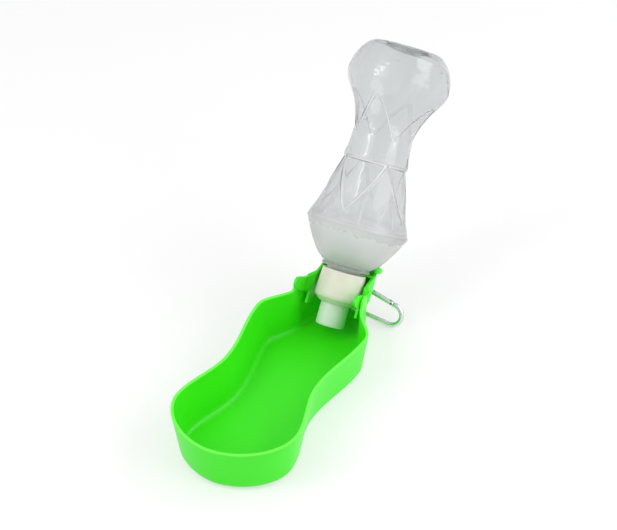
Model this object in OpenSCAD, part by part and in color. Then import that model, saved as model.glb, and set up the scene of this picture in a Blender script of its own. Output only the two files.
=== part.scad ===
// Folding water bottle for a dog: a waisted drinking trough with a hinged neck bracket,
// a clear bottle held upside down in it, a push and pull screw cap and a snap hook.
// Millimetres. x = 0 is the plane of symmetry, -y is the front, z = 0 is the table,
// y = 0 is the hinge line.

/* [Trough] */
// Height of the rim above the table
rim_height = 34; // [28:0.5:42]
// Thickness of the side walls
trough_wall = 2; // [1.4:0.1:3]
// Thickness of the floor
trough_floor = 2; // [1.4:0.1:3]
// Distance from the hinge line to the tip of the nose
trough_reach = 167; // [140:1:190]
// Distance from the hinge line to where the round nose starts
nose_start = 131; // [110:1:140]
// Half width of the front bowl
front_half = 43; // [36:0.5:50]
// Roundness of the nose, 2 is an ellipse
nose_power = 1.85; // [1.6:0.05:2.6]
// Distance from the hinge line to the narrow waist
waist_dist = 84; // [70:1:100]
// Half width of the waist
waist_half = 33.3; // [28:0.1:38]
// Distance from the hinge line to the widest part of the rear bowl
rear_dist = 29; // [22:1:36]
// Half width of the rear bowl
rear_half = 40.6; // [34:0.1:46]
// Distance from the hinge line to where the neck starts
neck_dist = 1; // [0.5:0.5:6]
// How far the rear end reaches behind the hinge line
rear_reach = 24; // [23:0.5:30]
// Roundness of the rear end
rear_power = 1.7; // [1.5:0.1:2.5]
// Height of the low lip at the rear end
lip_height = 10; // [7:0.5:12]
// Inward lean of the walls over their height, in the bowls
draft_bowl = 4.9; // [2:0.1:7]
// Inward lean of the walls over their height, at the neck
draft_neck = 1.2; // [0.5:0.1:2.5]
// Length over which the lean changes ahead of the neck
draft_run = 26; // [10:1:30]
// Outside radius of the edge round the floor
floor_edge_r = 5.5; // [4:0.5:7]
// How far the hinge ears stand above the rim
ear_rise = 7.2; // [6:0.1:12]
// Distance from the hinge line to the front foot of an ear
ear_front = 7.5; // [6:0.5:16]
// Distance from the hinge line to the front end of the flat top of an ear
ear_top_front = 1.5; // [1:0.5:5]
// Distance from the hinge line to the rear end of the flat top of an ear
ear_top_rear = 1.5; // [1:0.5:7]
// Distance behind the hinge line where the ear has come down to the lip
ear_rear = 11; // [9:0.5:14]

/* [Hinge] */
// How far the hinge line stands above the rim
pin_rise = 4.4; // [4:0.1:5]
// Radius of a hinge pin
pin_r = 1.5; // [1:0.1:2.2]
// Radial gap round a pin in the turning arm
pin_gap = 0.06; // [0.03:0.01:0.1]
// Radial gap round a pin in the fixed ear
pin_seat_gap = 0.02; // [0.01:0.01:0.03]
// Half width over the outside of the ears
ear_half = 25; // [23:0.1:28]
// Thickness of an ear beside the arm
ear_thick = 1.8; // [1.4:0.1:2.5]
// Side gap between an ear and an arm
arm_gap = 0.3; // [0.2:0.05:0.5]
// Depth of the dimple in front of a pin end
pin_recess = 0.4; // [0.2:0.1:0.8]
// Gap round the sweep of the arms in the neck
pocket_gap = 0.6; // [0.4:0.1:1]

/* [Bracket] */
// Lean of the bottle axis behind the upright
lean = 36.3; // [25:0.1:50]
// Distance of the bottle axis behind the hinge line
axis_offset = 14.5; // [12:0.1:18]
// Thickness of the arms
arm_thick = 1.8; // [1.4:0.1:2.5]
// Distance from the hinge line to the centre of the front lobe of an arm
lobe_dist = 8; // [6:0.1:10]
// Height of the centre of the front lobe below the hinge line
lobe_drop = 0.9; // [0:0.05:1.5]
// Radius of the front lobe of an arm
lobe_r = 3.9; // [3.5:0.05:5]
// Radius of an arm round its pin
arm_r = 3.4; // [3:0.1:4.5]
// How far the lower edge of an arm lies under the hinge line
arm_low = 6; // [5:0.1:7]
// Half width over the cheeks
cheek_half = 19.3; // [18.5:0.1:21]
// Thickness of the cheeks and the rear web
cheek_thick = 1.7; // [1.5:0.1:2.4]
// Distance behind the hinge line where the arms start to step inward
jog_start = 8.5; // [7:0.1:10]
// Distance behind the hinge line where the cheeks start
jog_end = 12.5; // [11:0.1:14]
// Distance from the hinge line to the outside of the rear web
web_dist = 32.6; // [32.5:0.1:36]
// Outside corner radius of the rear web
web_corner_r = 9.5; // [6:0.1:12]
// Height of the upper edge of the cheeks
cheek_top = 20; // [18:0.1:22]
// Distance behind the hinge line of the foot of the slanting front edge
slant_foot = 8; // [3:0.1:9]
// Height of the foot of the slanting front edge
slant_foot_h = 4.2; // [4:0.1:6]
// Distance behind the hinge line of the knee in the front edge
slant_knee = 14.5; // [10:0.1:16]
// Height of the knee in the front edge
slant_knee_h = 10; // [8:0.1:12]
// Distance behind the hinge line of the top of the front edge
slant_head = 27; // [22:0.1:28]
// Distance behind the hinge line of the knee in the lower edge of the cheeks
cheek_knee = 23.2; // [21:0.1:26]
// How far that knee lies under the hinge line
cheek_low = 2.2; // [1:0.1:3]
// Distance behind the hinge line of the front edge of the skirt beside the cap
skirt_front = 8; // [7:0.1:12]
// Distance behind the hinge line of the rear end of the skirt's lower edge
skirt_rear = 16; // [14:0.1:18]
// How far the skirt hangs under the hinge line
skirt_low = 13.5; // [9:0.1:14]
// How far the lower edge of the web lies under the hinge line
web_low = 0.5; // [0:0.1:1]
// Height of the underside of the neck shelf
shelf_height = 14.3; // [13:0.1:16]
// Thickness of the neck shelf
shelf_thick = 1.5; // [1.2:0.1:2.5]
// Radial gap between the shelf and the bottle neck
shelf_gap = 0.5; // [0.3:0.1:1]
// Radius of the bead along the upper edge
bead_r = 2.2; // [1.6:0.1:2.6]
// Distance of the bead centre outside the inner face of the cheeks
bead_out = 2.5; // [2:0.1:3]
// Height of the bead centre
bead_height = 20.3; // [19:0.1:22]
// Distance behind the hinge line of the round front ends of the bead
bead_front = 20.5; // [17:0.1:24]
// Gap between the bead and the bottle
cradle_gap = 0.3; // [0.2:0.05:0.5]

/* [Hook eye] */
// Radius of the hole for the snap hook
eye_r = 3; // [2.6:0.1:4]
// Width of material round the hole
eye_rim = 2.2; // [1.6:0.1:3]
// Distance of the hole behind the hinge line
eye_dist = 36.3; // [36:0.1:39]
// Thickness of the eye tab
eye_thick = 2.4; // [1.8:0.1:3]
// How far the underside of the eye tab lies under the hinge line
eye_low = 1.9; // [1.5:0.1:2.2]

/* [Bottle] */
// Height of the mouth along the bottle axis, from the hinge level
mouth_at = -0.3; // [-1:0.1:1]
// Outside radius of the neck tube
neck_r = 12.5; // [12:0.1:13.5]
// Inside radius of the neck tube
mouth_r = 10.9; // [10:0.1:11.2]
// Outside radius of the carrying ring under the shoulder dome
ring_r = 16.5; // [15:0.1:17]
// Height where the carrying ring starts
ring_at = 16.1; // [15.8:0.1:17]
// Thickness of the carrying ring
ring_thick = 1.5; // [1.2:0.1:2]
// Outside radius of the dome where it leaves the ring
dome_foot_r = 14.2; // [13:0.1:16]
// Height where the dome starts
dome_at = 17.8; // [17:0.1:19]
// Curve power of the dome
dome_power = 0.62; // [0.5:0.01:0.8]
// Largest radius of the bottle
bottle_r = 35; // [30:0.5:38]
// Height of the shoulder edge
shoulder_at = 45.5; // [40:0.5:52]
// Radius of the waist
bottle_waist_r = 20.5; // [18:0.1:24]
// Height of the waist
bottle_waist_at = 107; // [95:1:115]
// Curve power from the shoulder to the waist
shoulder_power = 1.75; // [1.2:0.05:2.4]
// Height of the widest part of the base bulge
bulge_at = 146.5; // [140:0.5:152]
// Curve power from the waist to the base bulge
bulge_power = 1.4; // [1:0.05:1.8]
// Height of the base
base_at = 169.5; // [160:0.5:180]
// Radius of the standing ring of the base
base_r = 20; // [16:0.5:26]
// Roundness of the base corner
base_power = 1.8; // [1.5:0.1:2.4]
// Radius inside the standing ring
punt_r = 15; // [10:0.5:18]
// Depth of the hollow in the base
punt_depth = 4; // [2:0.5:6]
// Wall thickness of the bottle
bottle_wall = 0.8; // [0.6:0.1:1.2]

/* [Cap] */
// Largest outside radius of the cap
cap_r = 16; // [15:0.1:16.2]
// Outside radius of the cap at its skirt end
cap_skirt_r = 15; // [14.6:0.1:15.8]
// Height of the skirt end of the cap
cap_top = 14; // [12:0.1:14]
// Height of the widest part of the cap
cap_wide_at = -3; // [-4:0.1:-1]
// Height where the chamfer to the nozzle starts
cap_chamfer_at = -5; // [-6:0.1:-4]
// Radius where the chamfer starts
cap_chamfer_r = 15.6; // [15:0.1:16]
// Height of the nozzle end of the cap
cap_end_at = -8.3; // [-9:0.1:-7]
// Outside radius of the nozzle end of the cap
cap_end_r = 11.8; // [11.4:0.1:13]
// Inside radius of the skirt
cap_bore_r = 13.7; // [13.4:0.1:14]
// Thickness of the end plate
cap_plate = 2; // [1.5:0.1:2.5]
// Thickness of the sealing liner
liner_thick = 1.2; // [0.8:0.1:1.6]
// Radial gap round the liner
liner_gap = 0.3; // [0.2:0.05:0.5]
// Rounding of the skirt edge
skirt_round = 0.8; // [0.4:0.1:1.2]
// Outside radius of the hollow stem
stem_r = 5.5; // [4.5:0.1:6]
// Inside radius of the hollow stem
stem_bore_r = 3; // [2:0.1:3.5]
// Radius of the stop flange at the end of the stem
flange_r = 6.3; // [6:0.1:7]
// Height where the stop flange starts
flange_at = -14.4; // [-15:0.1:-14.3]
// Height of the closed end of the stem
stem_end_at = -17.2; // [-17.5:0.1:-16.5]
// Thickness of the closed end of the stem
stem_end_thick = 1; // [0.8:0.1:1.5]
// Radius of the cross holes in the stem
port_r = 1; // [0.7:0.1:1.2]
// Radius of the plug that closes the nozzle hole
plug_r = 2.4; // [1.8:0.1:2.6]
// Height of the tip of the plug
plug_end_at = -21; // [-21.5:0.1:-20]
// Radius of the seal ring wire on the stem
seal_wire_r = 0.6; // [0.4:0.05:0.8]
// Height of the seal ring
seal_at = -8.9; // [-9.2:0.1:-8.7]
// Gap between the seal ring and the nozzle bore
seal_gap = 0.05; // [0.03:0.01:0.1]

/* [Nozzle] */
// Outside radius of the nozzle
nozzle_r = 9.8; // [9:0.1:10.5]
// Height of the inner end of the nozzle, pulled out
nozzle_top_at = -8; // [-8.5:0.1:-7.5]
// Height of the mouth end of the nozzle, pulled out
nozzle_end_at = -24.5; // [-26:0.1:-23]
// Radial gap between the nozzle and the cap
nozzle_gap = 0.3; // [0.2:0.05:0.5]
// Radial gap between the nozzle bore and the stem
stem_gap = 0.2; // [0.1:0.05:0.3]
// Height where the bore opens into the chamber
chamber_at = -14; // [-14.2:0.1:-13]
// Radius of the chamber
chamber_r = 8; // [7:0.1:8.6]
// Thickness of the mouth wall
mouth_wall = 2; // [1.5:0.1:2.5]
// Radius of the pouring hole
pour_r = 2.6; // [2:0.1:3.2]
// Rounding of the mouth edge
tip_round = 1.4; // [0.8:0.1:2]

/* [Snap hook] */
// Radius of the hook wire
wire_r = 1.8; // [1.4:0.1:2.2]
// Height of the swage marks where the bends start
swage = 0.06; // [0.04:0.01:0.1]
// Length of a swage mark
swage_len = 1; // [0.8:0.1:1.5]
// Centre line radius of the wide end
wide_r = 8.8; // [7:0.1:11]
// Centre line radius of the narrow end
narrow_r = 7.3; // [5:0.1:9]
// Centre line length of the hook
hook_length = 39.8; // [34:0.1:50]
// Fall of the hook towards its far end
hook_tilt = 13.5; // [8:0.5:20]
// Backward lean of the upper side of the hook
hook_lean = 20; // [5:0.5:25]
// How far the wire sits inside the centre of the eye
hook_seat = 0.2; // [0:0.1:1]
// Distance of the gate pin from the wide end of the gate side
gate_pin_at = 20.2; // [18:0.1:21]
// Radius of the gate pin
gate_pin_r = 0.7; // [0.5:0.05:0.9]
// Thickness of the tongue in the gate fork
tongue_thick = 1.1; // [0.8:0.1:1.4]
// Side gap between the tongue and the fork
tongue_gap = 0.3; // [0.2:0.05:0.4]
// Radius of the tongue round the gate pin
tongue_r = 1.6; // [1.2:0.1:1.7]
// Length of the full wire before the nose
nose_stub = 1.2; // [0.8:0.1:2]
// Gap between the frame and the ends of the gate
gate_gap = 0.5; // [0.3:0.1:0.8]
// Radius of the nose neck
nose_neck_r = 0.7; // [0.5:0.1:0.9]
// Radius of the nose ball
nose_ball_r = 1.1; // [0.9:0.1:1.3]
// Distance of the nose ball from the end of the full wire
nose_ball_at = 3.3; // [3:0.1:4]

/* [Hidden] */
pin_height = rim_height + pin_rise;
$fn = 64;
cut = 1;
steps = 14;
round_steps = 5;
wall_steps = 4;
rear_steps = 22;
dome_spacing = 1.5;
pocket_r = lobe_dist + lobe_r + pocket_gap;
arm_outer = ear_half - ear_thick - arm_gap;
arm_inner = arm_outer - arm_thick;
cheek_inner = cheek_half - cheek_thick;
web_inner = web_dist - cheek_thick;
corner_inner_r = web_corner_r - cheek_thick;
bead_half = cheek_inner + bead_out;
bead_corner_r = corner_inner_r + bead_out;
plate_at = mouth_at - liner_thick;
plate_end_at = plate_at - cap_plate;
nozzle_bore_r = stem_r + stem_gap;
seal_center_r = nozzle_bore_r - seal_gap - seal_wire_r;
side_len = sqrt(pow(hook_length - wide_r - narrow_r, 2) - pow(wide_r - narrow_r, 2));
side_turn = asin((wide_r - narrow_r) / (hook_length - wide_r - narrow_r));
gate_start = nose_stub + gate_gap;
fork_back = gate_pin_at - tongue_r - 2 * tongue_gap;

// Curve helpers
function blend(a, b, t) = a + (b - a) * (1 - cos(180 * max(0, min(1, t)))) / 2;
function arch(t, p) = pow(max(0, 1 - pow(abs(t), p)), 1 / p);

// Half width of the rim at distance y, ahead of the hinge line when negative
function rim_half(y) =
    y < -nose_start ? front_half * arch((-y - nose_start) / (trough_reach - nose_start), nose_power)
    : y < -waist_dist ? blend(front_half, waist_half, (y + nose_start) / (nose_start - waist_dist))
    : y < -rear_dist ? blend(waist_half, rear_half, (y + waist_dist) / (waist_dist - rear_dist))
    : y < -neck_dist ? blend(rear_half, ear_half, (y + rear_dist) / (rear_dist - neck_dist))
    : ear_half * arch(max(0, y) / rear_reach, rear_power);

// Points of the rim on the right side, tip first
function nose_y(i) = -nose_start - (trough_reach - nose_start) * cos(90 * i / steps);
function rear_y(i) = rear_reach * sin(90 * i / rear_steps);
right_y = concat(
    [for (i = [0:steps]) nose_y(i)],
    [for (i = [1:steps - 4]) blend(-nose_start, -waist_dist, i / (steps - 4))],
    [for (i = [1:steps - 4]) blend(-waist_dist, -rear_dist, i / (steps - 4))],
    [for (i = [1:steps - 4]) -rear_dist + (rear_dist - ear_front) * i / (steps - 4)],
    [for (i = [1:round_steps + 1]) -ear_front + (ear_front - neck_dist) * i / (round_steps + 1)],
    [for (i = [0:rear_steps]) rear_y(i)]);
right = [for (y = right_y) [rim_half(y), y]];
count = len(right);
outline = concat(right, [for (i = [count - 2:-1:1]) [-right[i][0], right[i][1]]]);
total = len(outline);

function unit(v) = v / norm(v);
function tangent(i) = unit(outline[(i + 1) % total] - outline[(i + total - 1) % total]);
normals = [for (i = [0:total - 1]) [tangent(i)[1], -tangent(i)[0]]];

// Height of the wall top: rim, ears beside the hinge, low lip behind it
function wall_top(y) =
    y < -ear_front ? rim_height
    : y < -ear_top_front ? blend(rim_height, rim_height + ear_rise, (y + ear_front) / (ear_front - ear_top_front))
    : y < ear_top_rear ? rim_height + ear_rise
    : blend(rim_height + ear_rise, lip_height, (y - ear_top_rear) / (ear_rear - ear_top_rear));

function draft_at(y) = blend(draft_bowl, draft_neck, (y + neck_dist + draft_run) / draft_run);
function lean_in(y, z) = draft_at(y) * max(0, 1 - z / rim_height);
function edge_in(r, z) = z < r ? r - sqrt(r * r - (r - z) * (r - z)) : 0;
function wall_point(i, z, inset) =
    let (p = outline[i] - normals[i] * (inset + lean_in(outline[i][1], z))) [p[0], p[1], z];

function outer_ring(k) = [for (i = [0:total - 1])
    let (z = k <= round_steps ? floor_edge_r * (1 - cos(90 * k / round_steps))
           : floor_edge_r + (wall_top(outline[i][1]) - floor_edge_r) * (k - round_steps) / wall_steps)
    wall_point(i, z, edge_in(floor_edge_r, z))];
inner_edge_r = floor_edge_r - trough_wall;
function inner_ring(k) = [for (i = [0:total - 1])
    let (h = k <= round_steps ? inner_edge_r * (1 - cos(90 * k / round_steps))
           : inner_edge_r + (wall_top(outline[i][1]) - trough_floor - inner_edge_r) * (k - round_steps) / wall_steps)
    wall_point(i, trough_floor + h, trough_wall + edge_in(inner_edge_r, h))];

rings = concat(
    [for (k = [0:round_steps + wall_steps]) outer_ring(k)],
    [for (k = [round_steps + wall_steps:-1:0]) inner_ring(k)]);
ring_count = len(rings);
shell_points = [for (ring = rings) for (p = ring) p];
function strip_face(k, i) =
    let (a = k * total + i, b = k * total + (i + 1) % total)
    [[a, a + total, b], [b, a + total, b + total]];
shell_faces = concat(
    [[for (i = [0:total - 1]) i]],
    [for (k = [0:ring_count - 2]) for (i = [0:total - 1]) for (f = strip_face(k, i)) f],
    [[for (i = [total - 1:-1:0]) (ring_count - 1) * total + i]]);

// Frames: hinge level along the leaning axis, and the bottle axis itself
module hinge_frame() {
    translate([0, 0, pin_height])
        rotate([-lean, 0, 0])
            children();
}

module bottle_frame() {
    hinge_frame()
        translate([0, axis_offset, 0])
            children();
}

module hook_place() {
    hinge_frame()
        translate([0, eye_dist - hook_seat, eye_thick / 2 - eye_low])
            rotate([lean, 0, 0])
                rotate([-hook_lean, hook_tilt, 0])
                    children();
}

// From the hook plane to its gate side: x runs from the wide end towards the pin
module gate_side() {
    translate([wide_r, 0, 0])
        rotate([0, side_turn, 0])
            translate([0, 0, wide_r])
                children();
}

module trough() {
    color([0.25, 0.9, 0.12])
        difference() {
            polyhedron(points = shell_points, faces = shell_faces);
            translate([-ear_half + ear_thick, 0, pin_height])
                rotate([0, 90, 0])
                    cylinder(r = pocket_r, h = 2 * (ear_half - ear_thick));
            translate([-ear_half - cut, 0, pin_height])
                rotate([0, 90, 0])
                    cylinder(r = pin_r + pin_seat_gap, h = 2 * (ear_half + cut));
        }
}

module hinge_pin() {
    translate([arm_inner - pin_recess, 0, pin_height])
        rotate([0, 90, 0])
            cylinder(r = pin_r, h = ear_half - arm_inner);
}

module hinge_pin_left() {
    color([0.2, 0.7, 0.1])
        mirror([1, 0, 0])
            hinge_pin();
}

module hinge_pin_right() {
    color([0.2, 0.7, 0.1])
        hinge_pin();
}

// Plan of the channel, seen along the bottle axis
module channel_plan(half, rear, corner) {
    translate([-half, 0])
        square([2 * half, rear - corner]);
    translate([corner - half, 0])
        square([2 * (half - corner), rear]);
    for (side = [-1, 1])
        translate([side * (half - corner), rear - corner])
            circle(r = corner);
}

module arm_plan() {
    translate([arm_inner, -lobe_dist - lobe_r - cut])
        square([arm_thick, lobe_dist + lobe_r + cut + jog_start]);
    polygon([[arm_inner, jog_start - cheek_thick / 2], [arm_outer, jog_start - cheek_thick / 2],
             [arm_outer, jog_start + cheek_thick / 2], [cheek_half, jog_end + cheek_thick / 2],
             [cheek_inner, jog_end + cheek_thick / 2], [cheek_inner, jog_end - cheek_thick / 2]]);
}

module walls_plan() {
    difference() {
        channel_plan(cheek_half, web_dist, web_corner_r);
        channel_plan(cheek_inner, web_inner, corner_inner_r);
        translate([-cheek_half - cut, -cut])
            square([2 * (cheek_half + cut), jog_end + cut]);
    }
    arm_plan();
    mirror([1, 0])
        arm_plan();
}

module shelf_plan() {
    difference() {
        channel_plan(cheek_inner + cheek_thick / 2, web_inner + cheek_thick / 2, web_corner_r);
        translate([0, axis_offset])
            circle(r = neck_r + shelf_gap);
        translate([-neck_r - shelf_gap, -cut])
            square([2 * (neck_r + shelf_gap), axis_offset + cut]);
    }
}

// Side view of the bracket, distance behind the hinge line and height
module side_profile() {
    translate([-lobe_dist, -lobe_drop])
        circle(r = lobe_r);
    circle(r = arm_r);
    polygon([[-lobe_dist, -lobe_drop - lobe_r], [0, -arm_low], [jog_start, -arm_low],
             [cheek_knee, -cheek_low], [web_dist + cut, -web_low], [web_dist + cut, cheek_top], [slant_head, cheek_top],
             [slant_knee, slant_knee_h], [slant_foot, slant_foot_h],
             [0, lobe_r - lobe_drop], [-lobe_dist, lobe_r - lobe_drop]]);
}

// Plates hanging beside the cap, in line with the cheeks
module skirt() {
    for (side = [0, 1])
        mirror([side, 0, 0])
            translate([cheek_inner, 0, 0])
                rotate([90, 0, 90])
                    linear_extrude(cheek_thick)
                        polygon([[skirt_front, -arm_low], [skirt_front, -skirt_low], [skirt_rear, -skirt_low],
                                 [cheek_knee, -cheek_low], [jog_end, 0]]);
}

module bead() {
    for (side = [-1, 1]) {
        translate([side * bead_half, bead_front, 0])
            sphere(r = bead_r);
        translate([side * bead_half, bead_front, 0])
            rotate([-90, 0, 0])
                cylinder(r = bead_r, h = web_inner + bead_out - bead_corner_r - bead_front);
    }
    for (side = [0, 1])
        mirror([side, 0, 0])
            translate([bead_half - bead_corner_r, web_inner + bead_out - bead_corner_r, 0])
                rotate_extrude(angle = 90)
                    translate([bead_corner_r, 0])
                        circle(r = bead_r);
    translate([bead_corner_r - bead_half, web_inner + bead_out, 0])
        rotate([0, 90, 0])
            cylinder(r = bead_r, h = 2 * (bead_half - bead_corner_r));
}

module eye_tab() {
    linear_extrude(eye_thick)
        difference() {
            union() {
                translate([0, eye_dist])
                    circle(r = eye_r + eye_rim);
                translate([-eye_r - eye_rim, web_inner + cheek_thick / 2])
                    square([2 * (eye_r + eye_rim), eye_dist - web_inner - cheek_thick / 2]);
            }
            translate([0, eye_dist])
                circle(r = eye_r);
        }
}

module bracket() {
    color([0.25, 0.9, 0.12])
        hinge_frame()
            difference() {
                union() {
                    intersection() {
                        translate([0, 0, -lobe_dist])
                            linear_extrude(lobe_dist + cheek_top)
                                walls_plan();
                        rotate([90, 0, 90])
                            linear_extrude(2 * ear_half, center = true)
                                side_profile();
                    }
                    intersection() {
                        translate([0, 0, shelf_height])
                            linear_extrude(shelf_thick)
                                shelf_plan();
                        rotate([90, 0, 90])
                            linear_extrude(2 * ear_half, center = true)
                                side_profile();
                    }
                    skirt();
                    translate([0, 0, bead_height])
                        bead();
                    translate([0, 0, -eye_low])
                        eye_tab();
                }
                translate([0, axis_offset, 0])
                    rotate_extrude()
                        polygon(concat([[0, dome_at]], dome_cut, [[0, dome_cut_top]]));
                rotate([0, 90, 0])
                    cylinder(r = pin_r + pin_gap, h = 2 * (ear_half + cut), center = true);
            }
}

// Outside radius of the bottle body at height s
function body_r(s) =
    s < shoulder_at ? dome_foot_r + (bottle_r - dome_foot_r) * pow((s - dome_at) / (shoulder_at - dome_at), dome_power)
    : s < bottle_waist_at ? bottle_waist_r + (bottle_r - bottle_waist_r)
        * pow((bottle_waist_at - s) / (bottle_waist_at - shoulder_at), shoulder_power)
    : s < bulge_at ? blend(bottle_waist_r, bottle_r, pow((s - bottle_waist_at) / (bulge_at - bottle_waist_at), bulge_power))
    : base_r + (bottle_r - base_r) * arch((s - bulge_at) / (base_at - bulge_at), base_power);

dome_cut_top = bead_height + 2 * bead_r;
dome_cut = [for (i = [0:steps])
    let (s = dome_at + (dome_cut_top - dome_at) * pow(i / steps, dome_spacing)) [body_r(s) + cradle_gap, s]];

dome_s = [for (i = [0:steps]) dome_at + (shoulder_at - dome_at) * pow(i / steps, 2)];
side_s = [for (i = [1:steps]) shoulder_at + (bottle_waist_at - shoulder_at) * i / steps];
bulge_s = [for (i = [1:steps]) bottle_waist_at + (bulge_at - bottle_waist_at) * i / steps];
base_s = [for (i = [1:steps]) bulge_at + (base_at - bulge_at) * sin(90 * i / steps)];
body_outer = [for (s = concat(dome_s, side_s, bulge_s, base_s)) [body_r(s), s]];
punt = [for (i = [0:round_steps]) [punt_r * cos(90 * i / round_steps), base_at - punt_depth * sin(90 * i / round_steps)]];
body_line = concat([for (p = body_outer) p], punt);
body_n = len(body_line);
function line_dir(i) = unit(body_line[min(i + 1, body_n - 1)] - body_line[max(i - 1, 0)]);
body_inner = [for (i = [1:body_n - 2])
    let (d = line_dir(i), p = body_line[i] + bottle_wall * [-d[1], d[0]]) [max(0, p[0]), p[1]]];

module bottle() {
    color([0.8, 0.83, 0.86, 0.35])
        bottle_frame()
            rotate_extrude()
                polygon(concat(
                    [[mouth_r, mouth_at], [neck_r, mouth_at], [neck_r, ring_at], [ring_r, ring_at],
                     [ring_r, ring_at + ring_thick], [dome_foot_r, ring_at + ring_thick]],
                    body_line,
                    [[0, base_at - punt_depth - bottle_wall]],
                    [for (i = [len(body_inner) - 1:-1:0]) body_inner[i]],
                    [[mouth_r, dome_at + bottle_wall]]));
}

module screw_cap() {
    color([0.9, 0.89, 0.82])
        bottle_frame()
            difference() {
                rotate_extrude()
                    polygon([[cap_bore_r, plate_at], [cap_bore_r, cap_top], [cap_skirt_r - skirt_round, cap_top],
                             [cap_skirt_r, cap_top - skirt_round], [cap_r, cap_wide_at],
                             [cap_chamfer_r, cap_chamfer_at], [cap_end_r, cap_end_at],
                             [nozzle_r + nozzle_gap, cap_end_at], [nozzle_r + nozzle_gap, plate_end_at],
                             [stem_r, plate_end_at], [stem_r, flange_at], [flange_r, flange_at],
                             [flange_r, stem_end_at], [plug_r, stem_end_at], [plug_r, plug_end_at + plug_r / 2],
                             [plug_r / 2, plug_end_at], [0, plug_end_at], [0, stem_end_at + stem_end_thick],
                             [stem_bore_r, stem_end_at + stem_end_thick], [stem_bore_r, plate_at]]);
                rotate_extrude()
                    translate([seal_center_r, seal_at])
                        circle(r = seal_wire_r + seal_gap);
                for (turn = [0, 90])
                    translate([0, 0, (flange_at + stem_end_at + stem_end_thick) / 2])
                        rotate([90, 0, turn])
                            cylinder(r = port_r, h = 2 * (flange_r + cut), center = true);
            }
}

module cap_liner() {
    color([0.75, 0.78, 0.8])
        bottle_frame()
            translate([0, 0, plate_at])
                difference() {
                    cylinder(r = cap_bore_r - liner_gap, h = liner_thick);
                    translate([0, 0, -cut])
                        cylinder(r = stem_bore_r, h = liner_thick + 2 * cut);
                }
}

module stem_seal() {
    color([0.2, 0.2, 0.22])
        bottle_frame()
            rotate_extrude()
                translate([seal_center_r, seal_at])
                    circle(r = seal_wire_r);
}

module pull_nozzle() {
    color([0.88, 0.93, 0.88])
        bottle_frame()
            rotate_extrude()
                polygon(concat(
                    [[nozzle_bore_r, nozzle_top_at], [nozzle_bore_r, chamber_at], [chamber_r, chamber_at],
                     [chamber_r, nozzle_end_at + mouth_wall], [pour_r, nozzle_end_at + mouth_wall],
                     [pour_r, nozzle_end_at]],
                    [for (i = [0:round_steps]) [nozzle_r - tip_round + tip_round * sin(90 * i / round_steps),
                                                nozzle_end_at + tip_round - tip_round * cos(90 * i / round_steps)]],
                    [[nozzle_r, nozzle_top_at]]));
}

// Bent wire of the hook in its own plane: x along the hook, z across it
module wire_arc(radius, from, sweep) {
    rotate([90, 0, 0])
        rotate([0, 0, from])
            rotate_extrude(angle = sweep)
                translate([radius, 0])
                    circle(r = wire_r);
}

module wire_run(from, to, radius) {
    translate([from, 0, 0])
        rotate([0, 90, 0])
            cylinder(r = radius, h = to - from);
}

module hook_frame() {
    color([0.75, 0.77, 0.8])
        hook_place() {
            translate([wide_r, 0, 0])
                wire_arc(wide_r, 90 - side_turn, 180 + 2 * side_turn);
            translate([hook_length - narrow_r, 0, 0])
                wire_arc(narrow_r, -90 + side_turn, 180 - 2 * side_turn);
            mirror([0, 0, 1])
                gate_side() {
                    wire_run(0, side_len, wire_r);
                    wire_run(-swage_len / 2, swage_len / 2, wire_r + swage);
                    wire_run(side_len - swage_len / 2, side_len + swage_len / 2, wire_r + swage);
                }
            gate_side() {
                wire_run(0, nose_stub, wire_r);
                wire_run(-swage_len / 2, swage_len / 2, wire_r + swage);
                wire_run(side_len - swage_len / 2, side_len + swage_len / 2, wire_r + swage);
                wire_run(nose_stub / 2, nose_stub + nose_ball_at, nose_neck_r);
                translate([nose_stub + nose_ball_at, 0, 0])
                    sphere(r = nose_ball_r);
                wire_run(gate_pin_at + wire_r + gate_gap, side_len, wire_r);
                difference() {
                    union() {
                        translate([gate_pin_at, -tongue_thick / 2, -tongue_r])
                            cube([wire_r + gate_gap + tongue_r / 2, tongue_thick, 2 * tongue_r]);
                        translate([gate_pin_at, 0, 0])
                            rotate([90, 0, 0])
                                cylinder(r = tongue_r, h = tongue_thick, center = true);
                    }
                    translate([gate_pin_at, 0, 0])
                        rotate([90, 0, 0])
                            cylinder(r = gate_pin_r + pin_gap, h = 2 * wire_r, center = true);
                }
            }
        }
}

module hook_gate() {
    color([0.7, 0.72, 0.75])
        hook_place()
            gate_side()
                difference() {
                    union() {
                        wire_run(gate_start, gate_pin_at, wire_r);
                        translate([gate_pin_at, 0, 0])
                            sphere(r = wire_r);
                    }
                    translate([fork_back, -tongue_thick / 2 - tongue_gap, -2 * wire_r])
                        cube([gate_pin_at + 2 * wire_r - fork_back, tongue_thick + 2 * tongue_gap, 4 * wire_r]);
                    translate([gate_start - cut, -nose_neck_r - gate_gap / 2, -nose_ball_r - gate_gap / 2])
                        cube([2 * cut, 2 * nose_neck_r + gate_gap, 3 * wire_r]);
                    translate([gate_start + gate_gap, -nose_ball_r - gate_gap / 2, -nose_ball_r - gate_gap / 2])
                        cube([nose_ball_at + nose_ball_r - gate_gap / 2, 2 * nose_ball_r + gate_gap, 3 * wire_r]);
                    translate([gate_pin_at, 0, 0])
                        rotate([90, 0, 0])
                            cylinder(r = gate_pin_r + pin_seat_gap, h = 4 * wire_r, center = true);
                }
}

module gate_pin() {
    color([0.35, 0.35, 0.37])
        hook_place()
            gate_side()
                translate([gate_pin_at, 0, 0])
                    rotate([90, 0, 0])
                        cylinder(r = gate_pin_r, h = 2 * wire_r, center = true);
}

trough();
hinge_pin_left();
hinge_pin_right();
bracket();
bottle();
screw_cap();
cap_liner();
stem_seal();
pull_nozzle();
hook_frame();
hook_gate();
gate_pin();
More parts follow.
